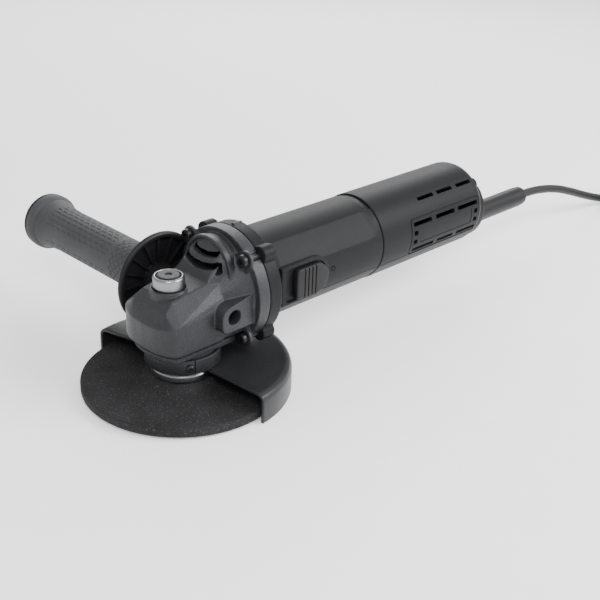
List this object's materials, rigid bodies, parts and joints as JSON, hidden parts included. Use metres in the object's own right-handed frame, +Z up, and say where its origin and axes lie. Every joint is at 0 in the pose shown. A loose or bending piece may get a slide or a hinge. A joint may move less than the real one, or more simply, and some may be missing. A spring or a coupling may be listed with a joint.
{
  "type": "angle grinder",
  "caption": "Small corded angle grinder with a depressed-centre grinding wheel under a half guard, a screw-in side handle, a slide switch and a spindle lock button.",
  "frame": {"origin": "centre of the spindle's free end face, at the wheel's underside", "axes": "+Z up along the spindle axis, +X towards the nose of the gear head along the motor axis, +Y to the tool's left, where the slide switch and the empty handle socket are"},
  "size_m": [0.6422, 0.2991, 0.0957],
  "materials": {
    "casting": "anthracite painted die casting, fine grain",
    "housing_plastic": "dark charcoal glass-filled plastic, satin grain",
    "black_plastic": "black plastic, satin",
    "inner_plastic": "black plastic, plain",
    "grip_rubber": "mid-grey soft grip, matt",
    "seal_rubber": "black rubber",
    "guard_coat": "satin black powder coat on sheet steel",
    "abrasive": "near-black bonded abrasive with pale grit specks",
    "bright_steel": "turned and ground steel",
    "black_steel": "blackened steel",
    "core_steel": "stacked motor laminations",
    "winding": "enamelled copper wire",
    "brass_part": "plain brass",
    "carbon": "pressed carbon",
    "cord_rubber": "black rubber sheath, satin"
  },
  "bodies": {
    "housing": {"gear_housing": "casting", "bearing_cover": "casting", "cover_screw_1": "black_steel", "cover_screw_2": "black_steel", "cover_screw_3": "black_steel", "cover_screw_4": "black_steel", "gear_screw_1": "black_steel", "gear_screw_2": "black_steel", "gear_screw_3": "black_steel", "gear_screw_4": "black_steel", "rear_cover_screw_1": "black_steel", "rear_cover_screw_2": "black_steel", "strain_relief": "black_plastic", "plug_body": "black_plastic", "air_baffle": "inner_plastic", "switch_body": "inner_plastic", "cord_clamp": "inner_plastic", "lock_spring": "bright_steel", "lock_collar": "bright_steel", "spindle_bearing": "bright_steel", "front_bearing": "bright_steel", "rear_bearing": "bright_steel", "plug_pin_1": "bright_steel", "plug_pin_2": "bright_steel", "spindle_bush": "brass_part", "brush_holder_1": "brass_part", "brush_holder_2": "brass_part", "rear_bearing_sleeve": "seal_rubber", "motor_housing": "housing_plastic", "rear_cover": "housing_plastic", "stator_core": "core_steel", "field_coil_upper": "winding", "field_coil_lower": "winding", "carbon_brush_1": "carbon", "carbon_brush_2": "carbon", "cord_lead": "cord_rubber", "cord_coil": "cord_rubber", "cord_tail": "cord_rubber"},
    "spindle": {"spindle": "bright_steel", "crown_gear": "bright_steel", "inner_flange": "bright_steel", "grinding_wheel": "abrasive", "clamp_nut": "black_steel"},
    "armature": {"armature_shaft": "bright_steel", "armature_core": "core_steel", "armature_winding": "winding", "commutator": "winding", "cooling_fan": "inner_plastic", "pinion_gear": "bright_steel", "pinion_nut": "bright_steel"},
    "lock": {"lock_button": "black_plastic", "lock_pin": "bright_steel"},
    "switch": {"switch_knob": "black_plastic", "switch_link": "inner_plastic"},
    "guard": {"guard_shell": "guard_coat", "guard_band": "guard_coat", "guard_clamp_screw": "black_steel"},
    "handle": {"handle_core": "black_plastic", "handle_grip": "grip_rubber", "handle_stud": "bright_steel"}
  },
  "joints": [
    {"name": "spindle_spin", "type": "hinge", "parent": "housing", "child": "spindle", "pos_m": [0, 0, 0], "axis": [0, 0, 1], "continuous": true},
    {"name": "armature_spin", "type": "hinge", "parent": "housing", "child": "armature", "pos_m": [-0.1, 0, 0.0562], "axis": [1, 0, 0], "continuous": true},
    {"name": "lock_press", "type": "slide", "parent": "housing", "child": "lock", "axis": [0, 0, -1], "range_m": [0, 0.0045], "stiffness_N_per_m": 400, "springref_m": -0.002, "deforming": ["lock_spring"]},
    {"name": "switch_slide", "type": "slide", "parent": "housing", "child": "switch", "axis": [1, 0, 0], "range_m": [0, 0.005]},
    {"name": "guard_turn", "type": "hinge", "parent": "housing", "child": "guard", "pos_m": [0, 0, 0.02], "axis": [0, 0, 1], "range_deg": [-90, 90]},
    {"name": "handle_unscrew", "type": "slide", "parent": "housing", "child": "handle", "axis": [0, -1, 0], "range_m": [0, 0.013]}
  ],
  "couplings": [
    {"joint": "armature_spin", "follows": "spindle_spin", "ratio": -3.4545}
  ]
}
